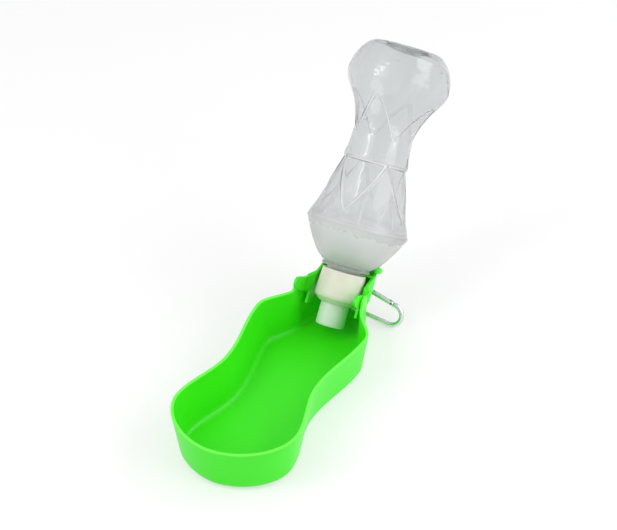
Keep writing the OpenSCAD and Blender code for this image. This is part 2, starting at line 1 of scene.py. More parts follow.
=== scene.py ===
# %% [markdown]
# # A folding water bottle for dogs
# The object is a clear drinks bottle that stands head down in a green neck bracket. The bracket
# turns on two pins in the ears of a long, waisted drinking trough. An ivory screw cap with a
# milky push and pull nozzle closes the bottle, and a small metal snap hook hangs at the back.
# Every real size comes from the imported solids. This lesson dresses them: it builds finer skins
# for the moulded and blown pieces, gives each finish its own recipe, and lights the whole.

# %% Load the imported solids
import bpy
import math
from mathutils import Matrix, Vector


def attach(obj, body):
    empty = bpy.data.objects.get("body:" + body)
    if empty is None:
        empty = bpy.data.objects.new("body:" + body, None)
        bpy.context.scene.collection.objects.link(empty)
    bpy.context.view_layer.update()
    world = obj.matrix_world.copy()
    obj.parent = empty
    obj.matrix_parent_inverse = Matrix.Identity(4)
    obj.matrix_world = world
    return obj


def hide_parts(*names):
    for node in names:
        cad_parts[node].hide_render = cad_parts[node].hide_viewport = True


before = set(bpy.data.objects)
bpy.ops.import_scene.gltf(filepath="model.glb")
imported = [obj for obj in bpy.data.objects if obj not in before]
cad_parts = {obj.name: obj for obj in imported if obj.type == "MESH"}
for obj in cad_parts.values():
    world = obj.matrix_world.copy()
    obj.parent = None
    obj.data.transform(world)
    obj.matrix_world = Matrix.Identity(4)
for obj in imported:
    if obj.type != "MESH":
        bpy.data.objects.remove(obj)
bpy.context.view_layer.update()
MM = 0.001
print("solids:", sorted(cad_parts))

# %% [markdown]
# ## Two frames
# The trough stands upright on the table. The bottle, its cap and the nozzle share one axis that
# leans back over the hinge, so their profiles are drawn straight and then tipped into place. One
# matrix does that for every turned piece, which keeps them all on one line.

# %% Where the hinge and the bottle axis are
PIN_HEIGHT = 38.4
LEAN = math.radians(36.3)
AXIS_OFFSET = 14.5

hinge_frame = Matrix.Translation((0, 0, PIN_HEIGHT)) @ Matrix.Rotation(-LEAN, 4, "X")
bottle_frame = hinge_frame @ Matrix.Translation((0, AXIS_OFFSET, 0))
print("bottle axis points to", tuple(round(c, 3) for c in bottle_frame.to_3x3() @ Vector((0, 0, 1))))


# %% [markdown]
# ## Skins from rings
# A moulded tray and a blown bottle are both stacks of closed rings. Writing the rings down and
# joining neighbours with quads gives a clean skin with no stray triangles. A curve with a bevel
# could make the turned pieces too, but not the tray, so one helper serves them all.

# %% Helpers for ring skins
def skin(name, rings, place=None, close_start=True, close_end=True, crease_deg=35):
    """Join rings of points, all of one length, into a skin. A ring of one point becomes a pole."""
    points = []
    starts = []
    for ring in rings:
        starts.append(len(points))
        points += [Vector(p) for p in ring]
    if place is not None:
        points = [place @ p for p in points]
    faces = []
    for lower, upper, a, b in zip(rings, rings[1:], starts, starts[1:]):
        n = max(len(lower), len(upper))
        if n == 1:
            continue
        for i in range(n):
            j = (i + 1) % n
            if len(lower) == 1:
                faces.append((a, b + j, b + i))
            elif len(upper) == 1:
                faces.append((a + i, a + j, b))
            else:
                faces.append((a + i, a + j, b + j, b + i))
    if close_start and len(rings[0]) > 1:
        faces.append(tuple(reversed(range(len(rings[0])))))
    if close_end and len(rings[-1]) > 1:
        faces.append(tuple(starts[-1] + i for i in range(len(rings[-1]))))
    mesh = bpy.data.meshes.new(name)
    mesh.from_pydata([p * MM for p in points], [], faces)
    mesh.validate()
    mesh.shade_smooth()
    mesh.set_sharp_from_angle(angle=math.radians(crease_deg))
    piece = bpy.data.objects.new(name, mesh)
    bpy.context.scene.collection.objects.link(piece)
    return piece


def blend(a, b, t):
    """A soft step from a to b as t goes from 0 to 1."""
    t = max(0.0, min(1.0, t))
    return a + (b - a) * (1 - math.cos(math.pi * t)) / 2


def arch(t, power):
    """A rounded quarter, 1 at t = 0 and 0 at t = 1."""
    return max(0.0, 1 - abs(t) ** power) ** (1 / power)


def around(count):
    """Angles once round a circle."""
    return [2 * math.pi * i / count for i in range(count)]


def rounded(corners, radii, steps=5):
    """A profile whose corners are rounded: each radius belongs to the corner of the same place."""
    line = []
    last = len(corners) - 1
    for i, (corner, radius) in enumerate(zip(corners, radii)):
        here = Vector(corner)
        if radius <= 0 or i in (0, last):
            line.append(here)
            continue
        back = (Vector(corners[i - 1]) - here).normalized()
        ahead = (Vector(corners[i + 1]) - here).normalized()
        half = math.acos(max(-1, min(1, back.dot(ahead)))) / 2
        reach = radius / math.tan(half)
        middle = here + (back + ahead).normalized() * (radius / math.sin(half))
        start = here + back * reach - middle
        end = here + ahead * reach - middle
        sweep = start.angle_signed(end)
        for k in range(steps + 1):
            turn = -sweep * k / steps
            line.append(middle + Vector((start.x * math.cos(turn) - start.y * math.sin(turn),
                                         start.x * math.sin(turn) + start.y * math.cos(turn))))
    return line


def turned(name, line, count=128, crease_deg=35):
    """Turn a profile of (radius, height) points round the bottle axis."""
    rings = []
    for radius, height in line:
        if radius < 1e-6:
            rings.append([(0, 0, height)])
        else:
            rings.append([(radius * math.cos(a), radius * math.sin(a), height) for a in around(count)])
    return skin(name, rings, bottle_frame, False, False, crease_deg)


print("ring helpers ready")

# %% [markdown]
# ## Shader sums as sentences
# A finish is easier to read as a formula than as a web of boxes. `Wire` wraps a socket so that
# `0.3 + 0.14 * grain` adds the Math nodes by itself. `Finish` opens a material, and its `node` method
# makes any other node: settings first, then the sockets.

# %% The wire class and the finish class
class Wire:
    """A number coming out of a node. Sums on it add Math nodes."""

    def __init__(self, finish, socket):
        self.finish = finish
        self.socket = socket

    def _math(self, operation, a, b):
        return self.finish.node("ShaderNodeMath", {"operation": operation}, {0: a, 1: b})

    def __add__(self, other):
        return self._math("ADD", self, other)

    __radd__ = __add__

    def __mul__(self, other):
        return self._math("MULTIPLY", self, other)

    __rmul__ = __mul__

    def __sub__(self, other):
        return self._math("SUBTRACT", self, other)


class Finish:
    """One material with its main surface shader."""

    def __init__(self, name, **sockets):
        self.material = bpy.data.materials.new(name)
        self.material.use_nodes = True
        self.tree = self.material.node_tree
        self.surface = self.tree.nodes["Principled BSDF"]
        for socket, value in sockets.items():
            self.surface.inputs[socket.replace("_", " ")].default_value = value

    def node(self, kind, settings=None, sockets=None, out=0):
        """Add a node, set it up, feed its sockets, and give back one of its outputs."""
        made = self.tree.nodes.new(kind)
        for key, value in (settings or {}).items():
            setattr(made, key, value)
        for key, value in (sockets or {}).items():
            if isinstance(value, Wire):
                self.tree.links.new(value.socket, made.inputs[key])
            else:
                made.inputs[key].default_value = value
        return Wire(self, made.outputs[out])

    def link(self, wire, socket):
        """Feed one socket of the main surface shader."""
        self.tree.links.new(wire.socket, self.surface.inputs[socket])

    def place(self, axis=None):
        """The point on the piece, in metres, or one of its coordinates."""
        point = self.node("ShaderNodeTexCoord", out="Object")
        if axis is None:
            return point
        return self.node("ShaderNodeSeparateXYZ", {}, {0: point}, out=axis)

    def grain(self, per_metre, detail=2.0, roughness=0.5, stretch=None):
        """Soft noise between 0 and 1, so many lumps to the metre."""
        point = self.place()
        if stretch:
            point = self.node("ShaderNodeVectorMath", {"operation": "MULTIPLY"}, {0: point, 1: stretch})
        return self.node("ShaderNodeTexNoise", {}, {"Vector": point, "Scale": per_metre,
                                                   "Detail": detail, "Roughness": roughness})

    def two_tones(self, mask, low, high):
        """A colour between two tones, by a mask from 0 to 1."""
        return self.node("ShaderNodeMix", {"data_type": "RGBA"}, {0: mask, 6: low, 7: high}, out=2)

    def shade_between(self, mask, first, second):
        """Show one shader where the mask is 0 and another where it is 1."""
        mixed = self.tree.nodes.new("ShaderNodeMixShader")
        self.tree.links.new(mask.socket, mixed.inputs[0])
        self.tree.links.new(first.outputs[0], mixed.inputs[1])
        self.tree.links.new(second.outputs[0], mixed.inputs[2])
        self.tree.links.new(mixed.outputs[0], self.tree.nodes["Material Output"].inputs["Surface"])

    def relief(self, height, distance):
        """A bump of that many metres where height is 1."""
        return self.node("ShaderNodeBump", {}, {"Height": height, "Distance": distance, "Strength": 1.0})


def dress(piece, finish):
    """Give the whole piece one finish."""
    piece.data.materials.clear()
    piece.data.materials.append(finish.material)
    return piece


def srgb(red, green, blue):
    """A colour as a paint chart gives it, 0 to 255, turned into light."""
    def light(c):
        c /= 255
        return c / 12.92 if c <= 0.04045 else ((c + 0.055) / 1.055) ** 2.4
    return (light(red), light(green), light(blue), 1.0)


print("helpers ready")

# %% [markdown]
# ## Lime plastic
# The trough and the bracket are moulded from bright lime polypropylene: smooth, slightly waxy, and letting
# a little light into thin walls. On the trough a painted highlight lightens the tone along the top of the
# rim. The tone drifts softly along the flow of the melt, and a very fine mould grain breaks the
# reflections.

# %% Mix the lime plastic
RIM_HEIGHT = 34
# The rim carries a painted highlight: it starts this far below the rim top, is full this close to it, and
# pales the lime by this share.
RIM_HIGHLIGHT_FROM_MM = 1.4
RIM_HIGHLIGHT_FULL_MM = 0.3
RIM_HIGHLIGHT_SHARE = 0.55


def mix_lime(name, rim=False):
    """Lime plastic. With a rim, a painted highlight lightens the moulded edge at the rim's height."""
    made = Finish(name, Roughness=0.36, IOR=1.49)
    flow = made.grain(22, 3, 0.55, (1, 0.35, 1))
    tone = made.two_tones(flow, srgb(50, 214, 12), srgb(68, 232, 26))
    # Painted highlight: towards the top of the rim the lime is mixed with a pale lime, standing in for
    # light on the rounded edge.
    if rim:
        edge = made.node("ShaderNodeMapRange", {"interpolation_type": "SMOOTHSTEP"},
                         {"Value": made.place(2), "From Min": (RIM_HEIGHT - RIM_HIGHLIGHT_FROM_MM) * MM,
                          "From Max": (RIM_HEIGHT - RIM_HIGHLIGHT_FULL_MM) * MM})
        tone = made.two_tones(edge * RIM_HIGHLIGHT_SHARE, tone, srgb(128, 250, 96))
    made.link(tone, "Base Color")
    made.link(0.3 + 0.14 * made.grain(700, 2), "Roughness")
    made.link(made.relief(made.grain(2600, 2), 0.00002), "Normal")
    made.surface.inputs["Specular IOR Level"].default_value = 0.36
    made.surface.inputs["Subsurface Weight"].default_value = 0.12
    made.surface.inputs["Subsurface Radius"].default_value = (0.001, 0.003, 0.0008)
    return made


lime = mix_lime("lime plastic")
rim_highlight_lime = mix_lime("lime plastic with a painted rim highlight", rim=True)
print(lime.material.name, "and", rim_highlight_lime.material.name)

# %% [markdown]
# ## Clear bottle plastic
# A blown bottle is thin clear plastic with an inside and an outside face. The skin below has both faces,
# so the light bends at each as it does in the real wall. Soft streaks along the blow vary its roughness a
# little. The plastic is thickest and haziest round the neck and the dome, where the mould starts, so a
# mask along the bottle axis adds haze and some hazy white plastic there. Along the creases of the grip and
# the ridges between its facets, whose places the skin carries as an attribute, the same hazy shader in a
# whiter tone paints a highlight.

# %% Mix the clear bottle plastic
HAZE_CLEAR_AT = 0.058
HAZE_FULL_AT = 0.036
CLOUD_SHARE = 0.56
# How much of the whiter hazy shader the painted highlight along the creases mixes in.
CREASE_HIGHLIGHT_SHARE = 0.72
clear = Finish("clear bottle plastic", IOR=1.33, Roughness=0.1)
axis_way = (bottle_frame.to_3x3() @ Vector((0, 0, 1))).normalized()
axis_foot = bottle_frame.translation.dot(axis_way) * MM
along = clear.node("ShaderNodeVectorMath", {"operation": "DOT_PRODUCT"},
                   {0: clear.place(), 1: tuple(axis_way)}, out=1) - axis_foot
haze = clear.node("ShaderNodeMapRange", {"interpolation_type": "SMOOTHSTEP"},
                  {"Value": along, "From Min": HAZE_CLEAR_AT, "From Max": HAZE_FULL_AT})
clear.surface.inputs["Transmission Weight"].default_value = 1.0
smear = clear.grain(60, 3, 0.6, (1, 0.3, 0.3))
clear.link(clear.two_tones(smear, srgb(224, 226, 227), srgb(238, 239, 239)), "Base Color")
clear.link(0.06 + 0.08 * clear.grain(140, 2) + 0.2 * haze, "Roughness")
clear.link(clear.relief(clear.grain(90, 2, 0.5, (1, 0.5, 0.5)), 0.0006), "Normal")
# The skin's attribute marks the painted highlight along the creases and the facet ridges.
crease_highlight = clear.node("ShaderNodeAttribute", {"attribute_name": "crease_highlight"}, out=2)
haze_and_highlight_bsdf = clear.tree.nodes.new("ShaderNodeBsdfPrincipled")
haze_and_highlight_bsdf.inputs["Roughness"].default_value = 0.75
haze_and_highlight_bsdf.inputs["IOR"].default_value = 1.2
haze_and_highlight_bsdf.inputs["Transmission Weight"].default_value = 0.72
# The hazy shader's tone turns fully white where the painted highlight lies.
haze_and_highlight_tone = clear.two_tones(crease_highlight, srgb(244, 244, 244), srgb(255, 255, 255))
clear.tree.links.new(haze_and_highlight_tone.socket, haze_and_highlight_bsdf.inputs["Base Color"])
# The hazy shader shows wherever the haze or the painted highlight is stronger.
haze_and_highlight_mask = clear.node("ShaderNodeMath", {"operation": "MAXIMUM"},
                    {0: haze * CLOUD_SHARE, 1: crease_highlight * CREASE_HIGHLIGHT_SHARE})
clear.shade_between(haze_and_highlight_mask, clear.surface, haze_and_highlight_bsdf)
print(clear.material.name)

# %% [markdown]
# ## Ivory, milky and soft plastics
# The cap is warm ivory with a faint mottling. The nozzle is a milky white that lets some light
# in, so it picks up green from the trough. The liner is matte foam and the seal black rubber.

# %% Mix the cap, nozzle, liner and seal finishes
ivory = Finish("ivory plastic", Roughness=0.42, IOR=1.49)
ivory.link(ivory.two_tones(ivory.grain(80, 3), srgb(212, 208, 194), srgb(222, 218, 205)), "Base Color")
ivory.link(0.34 + 0.16 * ivory.grain(500, 2), "Roughness")
ivory.link(ivory.relief(ivory.grain(1800, 2), 0.00002), "Normal")

milky = Finish("milky plastic", Roughness=0.4, IOR=1.49)
milky.surface.inputs["Subsurface Weight"].default_value = 0.35
milky.surface.inputs["Subsurface Radius"].default_value = (0.003, 0.004, 0.003)
milky.link(milky.two_tones(milky.grain(90, 2), srgb(206, 216, 206), srgb(219, 226, 217)), "Base Color")
milky.link(0.32 + 0.14 * milky.grain(500, 2), "Roughness")

foam = Finish("liner foam", Roughness=0.85)
foam.link(foam.two_tones(foam.grain(1500, 3), srgb(196, 200, 204), srgb(214, 217, 220)), "Base Color")
foam.link(foam.relief(foam.grain(2500, 2), 0.0001), "Normal")

rubber = Finish("seal rubber", Roughness=0.6)
rubber.link(rubber.two_tones(rubber.grain(900, 2), srgb(30, 30, 33), srgb(48, 48, 52)), "Base Color")
print("four plastics and rubber mixed")

# %% [markdown]
# ## Hook metal
# Small snap hooks are drawn aluminium wire, tumbled bright. Fine drawing marks run along the
# wire, so the noise is stretched, and the pin is darker plated steel.

# %% Mix the metals
bright = Finish("bright wire", Metallic=1.0, Roughness=0.24)
bright.link(bright.two_tones(bright.grain(300, 3), srgb(212, 214, 218), srgb(236, 238, 241)), "Base Color")
bright.link(0.16 + 0.2 * bright.grain(900, 3, 0.6, (0.2, 1, 1)), "Roughness")
bright.link(bright.relief(bright.grain(1600, 2, 0.5, (0.15, 1, 1)), 0.00003), "Normal")

dark = Finish("dark pin steel", Metallic=1.0, Roughness=0.35)
dark.link(dark.two_tones(dark.grain(1500, 2), srgb(70, 70, 74), srgb(98, 98, 102)), "Base Color")
print("metals mixed")

# %% [markdown]
# ## The trough
# The tray is one shell: a round nose, a narrow waist, a wider rear bowl, and a neck whose walls
# rise into two hinge ears. Its plan is one half width for each distance from the hinge, mirrored.
# Walking over the shell from the floor's edge up the outside, over the rim and down the inside
# gives the rings, so the wall keeps one thickness and the rim can be softly rounded.

# %% Plan of the rim
WALL = 2
FLOOR = 2
REACH = 167
NOSE_START = 131
FRONT_HALF = 43
NOSE_POWER = 1.85
WAIST_DIST = 84
WAIST_HALF = 33.3
REAR_DIST = 29
REAR_HALF = 40.6
NECK_DIST = 1
EAR_HALF = 25
REAR_REACH = 24
REAR_POWER = 1.7


def rim_half(y):
    """Half width of the rim at a distance from the hinge line, minus is ahead."""
    if y < -NOSE_START:
        return FRONT_HALF * arch((-y - NOSE_START) / (REACH - NOSE_START), NOSE_POWER)
    if y < -WAIST_DIST:
        return blend(FRONT_HALF, WAIST_HALF, (y + NOSE_START) / (NOSE_START - WAIST_DIST))
    if y < -REAR_DIST:
        return blend(WAIST_HALF, REAR_HALF, (y + WAIST_DIST) / (WAIST_DIST - REAR_DIST))
    if y < -NECK_DIST:
        return blend(REAR_HALF, EAR_HALF, (y + REAR_DIST) / (REAR_DIST - NECK_DIST))
    return EAR_HALF * arch(max(0, y) / REAR_REACH, REAR_POWER)


def even_points(line, count):
    """Points at equal distances along a line of points."""
    lengths = [0]
    for a, b in zip(line, line[1:]):
        lengths.append(lengths[-1] + (b - a).length)
    made = []
    k = 0
    for i in range(count + 1):
        want = lengths[-1] * i / count
        while k < len(line) - 2 and lengths[k + 1] < want:
            k += 1
        t = (want - lengths[k]) / (lengths[k + 1] - lengths[k])
        made.append(line[k].lerp(line[k + 1], t))
    return made


NOSE_STEPS = 200
MIDDLE_STEPS = 600
TAIL_STEPS = 100
HALF_COUNT = 260
nose_turns = [math.pi / 2 * i / NOSE_STEPS for i in range(NOSE_STEPS)]
nose = [-NOSE_START - (REACH - NOSE_START) * math.cos(turn) for turn in nose_turns]
middle = [-NOSE_START + NOSE_START * i / MIDDLE_STEPS for i in range(MIDDLE_STEPS)]
tail = [REAR_REACH * math.sin(math.pi / 2 * i / TAIL_STEPS) for i in range(TAIL_STEPS + 1)]
right_side = [Vector((rim_half(y), y)) for y in nose + middle + tail]
right_side = even_points(right_side, HALF_COUNT)
plan = right_side + [Vector((-p.x, p.y)) for p in reversed(right_side[1:-1])]
plan_count = len(plan)
print("rim points:", plan_count)

# %% [markdown]
# The wall leans in towards the floor, more in the bowls than at the neck, and its top follows a
# height line: level round the bowls, up over the ears, down to low sides behind the hinge and to a
# lower lip at the rear end, where the nozzle swings past. The low sides stand up to 9.5 mm higher
# than in the solid, because the photo shows no gap beside the cap.

# %% Walk over the wall
DRAFT_BOWL = 4.9
DRAFT_NECK = 1.2
DRAFT_RUN = 26
EDGE_R = 5.5
EAR_RISE = 7.2
EAR_FRONT = 7.5
EAR_TOP_FRONT = 1.5
EAR_TOP_REAR = 1.5
EAR_REAR = 11
SIDE_HEIGHT = 19.5
SIDE_END = 15
LIP_START = 22
LIP_HEIGHT = 10
RIM_ROUND = 0.7
POCKET_R = 12.5
EAR_THICK = 1.8


def wall_top(y):
    """Height of the wall top at a distance from the hinge line."""
    top = RIM_HEIGHT + EAR_RISE
    if y < -EAR_FRONT:
        return RIM_HEIGHT
    if y < -EAR_TOP_FRONT:
        return blend(RIM_HEIGHT, top, (y + EAR_FRONT) / (EAR_FRONT - EAR_TOP_FRONT))
    if y < EAR_TOP_REAR:
        return top
    if y < EAR_REAR:
        return blend(top, SIDE_HEIGHT, (y - EAR_TOP_REAR) / (EAR_REAR - EAR_TOP_REAR))
    return blend(SIDE_HEIGHT, LIP_HEIGHT, (y - SIDE_END) / (LIP_START - SIDE_END))


def inward(i):
    """Unit vector into the tray at a rim point."""
    along = plan[(i + 1) % plan_count] - plan[i - 1]
    return Vector((-along.y, along.x)).normalized()


inwards = [inward(i) for i in range(plan_count)]


def wall_point(i, z, inset):
    """A point of the wall at a height, so far inside the rim line."""
    y = plan[i].y
    draft = blend(DRAFT_BOWL, DRAFT_NECK, (y + NECK_DIST + DRAFT_RUN) / DRAFT_RUN)
    spot = plan[i] + inwards[i] * (inset + draft * max(0, 1 - z / RIM_HEIGHT))
    x = spot.x
    near_pin = math.hypot(spot.y, z - PIN_HEIGHT) < POCKET_R
    if inset > WALL / 2 and near_pin and abs(x) < EAR_HALF - EAR_THICK:
        x = math.copysign(EAR_HALF - EAR_THICK, x)
    return (x, spot.y, z)


def quarter(radius, depth):
    """How far a rounded floor edge lies inside the wall at a height above its foot."""
    return radius - math.sqrt(radius * radius - (radius - depth) ** 2) if depth < radius else 0


def edge_rings(foot, radius, inset, steps):
    """The rounded edge of the floor, from the given steps of its quarter turn."""
    rings = []
    for k in steps:
        h = radius * (1 - math.cos(math.pi / 2 * k / EDGE_STEPS))
        rings.append([wall_point(i, foot + h, inset + quarter(radius, h)) for i in range(plan_count)])
    return rings


def wall_rings(foot, inset, steps):
    """The straight part of the wall, from a foot height to where the rim begins to round."""
    rises = [wall_top(spot.y) - RIM_ROUND - foot for spot in plan]
    return [[wall_point(i, foot + rise * k / WALL_STEPS, inset) for i, rise in enumerate(rises)]
            for k in steps]


EDGE_STEPS = 8
WALL_STEPS = 30
RIM_STEPS = 9
INNER_R = EDGE_R - WALL
rim_rings = []
for k in range(1, RIM_STEPS):
    turn = math.pi * k / RIM_STEPS
    side = RIM_ROUND * (1 - math.cos(turn))
    if turn >= math.pi / 2:
        side = WALL - RIM_ROUND * (1 + math.cos(turn))
    drop = RIM_ROUND * (1 - math.sin(turn))
    rim_rings.append([wall_point(i, wall_top(plan[i].y) - drop, side) for i in range(plan_count)])
shell_rings = edge_rings(0, EDGE_R, 0, range(EDGE_STEPS + 1))
shell_rings += wall_rings(EDGE_R, 0, range(1, WALL_STEPS + 1))
shell_rings += rim_rings
shell_rings += wall_rings(FLOOR + INNER_R, WALL, range(WALL_STEPS, 0, -1))
shell_rings += edge_rings(FLOOR, INNER_R, WALL, range(EDGE_STEPS, -1, -1))

trough = skin("trough_shell", shell_rings)
dress(trough, rim_highlight_lime)
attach(trough, "trough")
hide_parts("trough")
print("trough shell faces:", len(trough.data.polygons))

# %% [markdown]
# ## The bottle
# The bottle is blown into a mould with a narrow grip. Four wide panels are pressed into the flare on each
# side of the waist: under the base bulge they rise to points like a zigzag, and above the shoulder they
# run down to points. Each panel is a sunk field, flattened a little towards the chord across it, with a
# small bead along its edge that catches the light. Eight soft facets rise from the shoulder and fade out
# under the lower points. The panel edges, the line along the heads of the lower panels and the faint
# ridges between the facets also carry a mark that paints a highlight there in whiter hazy plastic.

# %% Profile of the bottle
MOUTH_AT = -0.25
NECK_R = 12.5
MOUTH_R = 10.9
RING_R = 16.5
RING_AT = 16.1
RING_THICK = 1.5
DOME_FOOT_R = 14.2
DOME_AT = 17.8
DOME_POWER = 0.62
BOTTLE_R = 35
SHOULDER_AT = 45.5
BOTTLE_WAIST_R = 20.5
BOTTLE_WAIST_AT = 107
SHOULDER_POWER = 1.75
BULGE_AT = 146.5
BULGE_POWER = 1.4
BASE_AT = 169.5
BASE_R = 20
BASE_POWER = 1.8
PUNT_R = 15
PUNT_DEPTH = 4
BOTTLE_WALL = 0.8


def body_r(s):
    """Outside radius of the round bottle at a height along its axis."""
    if s < SHOULDER_AT:
        rise = ((s - DOME_AT) / (SHOULDER_AT - DOME_AT)) ** DOME_POWER
        return DOME_FOOT_R + (BOTTLE_R - DOME_FOOT_R) * rise
    if s < BOTTLE_WAIST_AT:
        flare = ((BOTTLE_WAIST_AT - s) / (BOTTLE_WAIST_AT - SHOULDER_AT)) ** SHOULDER_POWER
        return BOTTLE_WAIST_R + (BOTTLE_R - BOTTLE_WAIST_R) * flare
    if s < BULGE_AT:
        rise = ((s - BOTTLE_WAIST_AT) / (BULGE_AT - BOTTLE_WAIST_AT)) ** BULGE_POWER
        return blend(BOTTLE_WAIST_R, BOTTLE_R, rise)
    return BASE_R + (BOTTLE_R - BASE_R) * arch((s - BULGE_AT) / (BASE_AT - BULGE_AT), BASE_POWER)


print("radius at the base bulge:", body_r(BULGE_AT), "mm")

# %% [markdown]
# The pattern is worked out point by point. `opened` says how wide a panel is at a height, `pressed` how
# deep it lies, and `wall_r` adds the belt, the facets and the swirl of the base. One more function gives
# how much painted highlight each point of the wall carries, which the clear plastic reads.

# %% Panels pressed into the grip
PANELS = 4
FLAT_SHARE = 0.22
PRESS_DEPTH = 0.5
PRESS_EDGE = 1.5
BEAD_HEIGHT = 0.45
BEAD_WIDTH = 0.8
PANEL_TURN = math.radians(-92.5)
PANEL_HALF = math.radians(42)
TIP_ROUND = 0.09
PANEL_LEAN = 0.75
# Widths and shares of the painted highlights along the panel edges and the facet ridges.
CREASE_HIGHLIGHT_WIDTH = 0.6
RIDGE_WIDTH = 1.8
RIDGE_HIGHLIGHT_SHARE = 0.4
RIDGE_CLEAR = 4
RIDGE_RISE = 3
UPPER_FOOT = 107
UPPER_TIP = 134
LOWER_TIP = 55.5
LOWER_HEAD = 90
BELT_START = 90
BELT_END = 94
BELT_RUN = 2
BELT_RAISE = 0.25
FACETS = 8
FACET_DEPTH = 0.55
FULL_FLAT_DEPTH = 2.6
FACET_RISE = 5
FACET_FADE_AT = 61.5
FACET_FADE_RUN = 22
FOOT_RUN = 5
HEAD_RUN = 1.5
SWIRL_DEPTH = 0.35
SWIRL_TURNS = 3
SWIRL_START = 138.5
SWIRL_PITCH = 0.9


def across(angle, middle_angle, count):
    """How far an angle is from the middle of its panel, with so many panels round the bottle."""
    step = 2 * math.pi / count
    return (angle - middle_angle + step / 2) % step - step / 2


def opened(s):
    """Half angle over which a panel is open at a height, 0 outside the panels."""
    if LOWER_TIP < s < LOWER_HEAD:
        share = (s - LOWER_TIP) / (LOWER_HEAD - LOWER_TIP)
    elif UPPER_FOOT < s < UPPER_TIP:
        share = (UPPER_TIP - s) / (UPPER_TIP - UPPER_FOOT)
    else:
        return 0
    return PANEL_HALF * math.sqrt(share * (share + TIP_ROUND) / (1 + TIP_ROUND))


def crease_highlight_at(s, angle):
    """How much painted highlight lies on a point of the wall, 0 to 1: along the panel edges, the heads of
    the lower panels and the ridges between the facets.
    """
    if not SHOULDER_AT < s < UPPER_TIP:
        return 0
    off = abs(across(angle, PANEL_TURN, PANELS))
    # A painted highlight along the heads of the lower panels.
    head = math.exp(-((s - LOWER_HEAD) / CREASE_HIGHLIGHT_WIDTH) ** 2) * blend(1, 0, (off - PANEL_HALF) * body_r(s))
    open_half = opened(s)
    # A painted highlight along the ridges between the facets, clear of the panel edges and faded in above
    # the shoulder.
    ridge_highlight = 0
    if s < LOWER_HEAD and off > open_half:
        apart = across(angle, PANEL_TURN + math.pi / FACETS, FACETS) * body_r(s)
        ridge_highlight = RIDGE_HIGHLIGHT_SHARE * math.exp(-(apart / RIDGE_WIDTH) ** 2)
        ridge_highlight *= blend(0, 1, (off - open_half) * body_r(s) / RIDGE_CLEAR)
        ridge_highlight *= blend(0, 1, (s - SHOULDER_AT) / RIDGE_RISE)
    if not open_half:
        return max(head, ridge_highlight)
    # A painted highlight along each panel edge.
    lean = math.hypot(1, PANEL_LEAN * body_r(s) / BOTTLE_R)
    return max(head, ridge_highlight, math.exp(-((open_half - off) * body_r(s) / lean / CREASE_HIGHLIGHT_WIDTH) ** 2))


def pressed(angle, open_half, radius):
    """Depth of a panel in millimetres: a sunk, flattened field with a small bead round it."""
    off = abs(across(angle, PANEL_TURN, PANELS))
    inside_mm = (open_half - off) * radius
    bead = BEAD_HEIGHT * math.exp(-((inside_mm + BEAD_WIDTH) / BEAD_WIDTH) ** 2)
    if inside_mm <= 0:
        return -bead
    flat = (1 - math.cos(open_half) / math.cos(off)) * radius * FLAT_SHARE
    return flat + blend(0, PRESS_DEPTH, inside_mm / PRESS_EDGE) - bead


def wall_r(s, angle):
    """Outside radius of the patterned bottle at a height and an angle."""
    radius = body_r(s)
    depth = 0
    if opened(s):
        depth = pressed(angle, opened(s), radius)
        rise = (s - UPPER_FOOT) / FOOT_RUN if s > UPPER_FOOT else (LOWER_HEAD - s) / HEAD_RUN
        depth *= blend(0, 1, rise)
    belt = BELT_RAISE * blend(0, 1, (s - BELT_START) / BELT_RUN) * blend(1, 0, (s - BELT_END) / BELT_RUN)
    facet = 0
    if SHOULDER_AT < s < LOWER_HEAD:
        fade = blend(0, 1, (s - SHOULDER_AT) / FACET_RISE)
        fade *= blend(1, 0, (s - FACET_FADE_AT) / FACET_FADE_RUN)
        off = across(angle, PANEL_TURN, FACETS)
        flat = 1 - math.cos(math.pi / FACETS) / math.cos(off)
        facet = FACET_DEPTH * fade * flat * radius / FULL_FLAT_DEPTH
    swirl = 0
    if s > SWIRL_START:
        fade = math.sin(math.pi * min(1, (s - SWIRL_START) / (BASE_AT - SWIRL_START)))
        swirl = SWIRL_DEPTH * fade * abs(math.sin(SWIRL_TURNS * angle + SWIRL_PITCH * s))
    return radius - depth + belt - facet - swirl


print("panels round the bottle:", PANELS)

# %% [markdown]
# The outside rings run from the mouth over the neck and its ring to the hollow base, and the
# inside rings come back one wall thickness under them. One closed skin is the whole bottle.

# %% Blow the bottle
AROUND_BOTTLE = 360
SLOPE_SPAN = 0.4
END_STEPS = 30
GRIP_STEPS = 130
heights = [DOME_AT + (SHOULDER_AT - DOME_AT) * (i / END_STEPS) ** 2 for i in range(END_STEPS + 1)]
for i in range(1, GRIP_STEPS + 1):
    heights.append(SHOULDER_AT + (BULGE_AT - SHOULDER_AT) * i / GRIP_STEPS)
for i in range(1, END_STEPS + 1):
    heights.append(BULGE_AT + (BASE_AT - BULGE_AT) * math.sin(math.pi / 2 * i / END_STEPS))


def round_ring(radius, s):
    """One plain round ring at a height along the axis."""
    return [(radius * math.cos(a), radius * math.sin(a), s) for a in around(AROUND_BOTTLE)]


def blown_ring(s, inset):
    """One ring of the blown wall, so far under its outside face."""
    growth = body_r(min(s + SLOPE_SPAN, BASE_AT)) - body_r(max(s - SLOPE_SPAN, DOME_AT))
    slope = math.atan2(growth, 2 * SLOPE_SPAN)
    height = s + inset * math.sin(slope)
    ring = []
    for angle in around(AROUND_BOTTLE):
        radius = wall_r(s, angle) - inset * math.cos(slope)
        ring.append((radius * math.cos(angle), radius * math.sin(angle), height))
    return ring


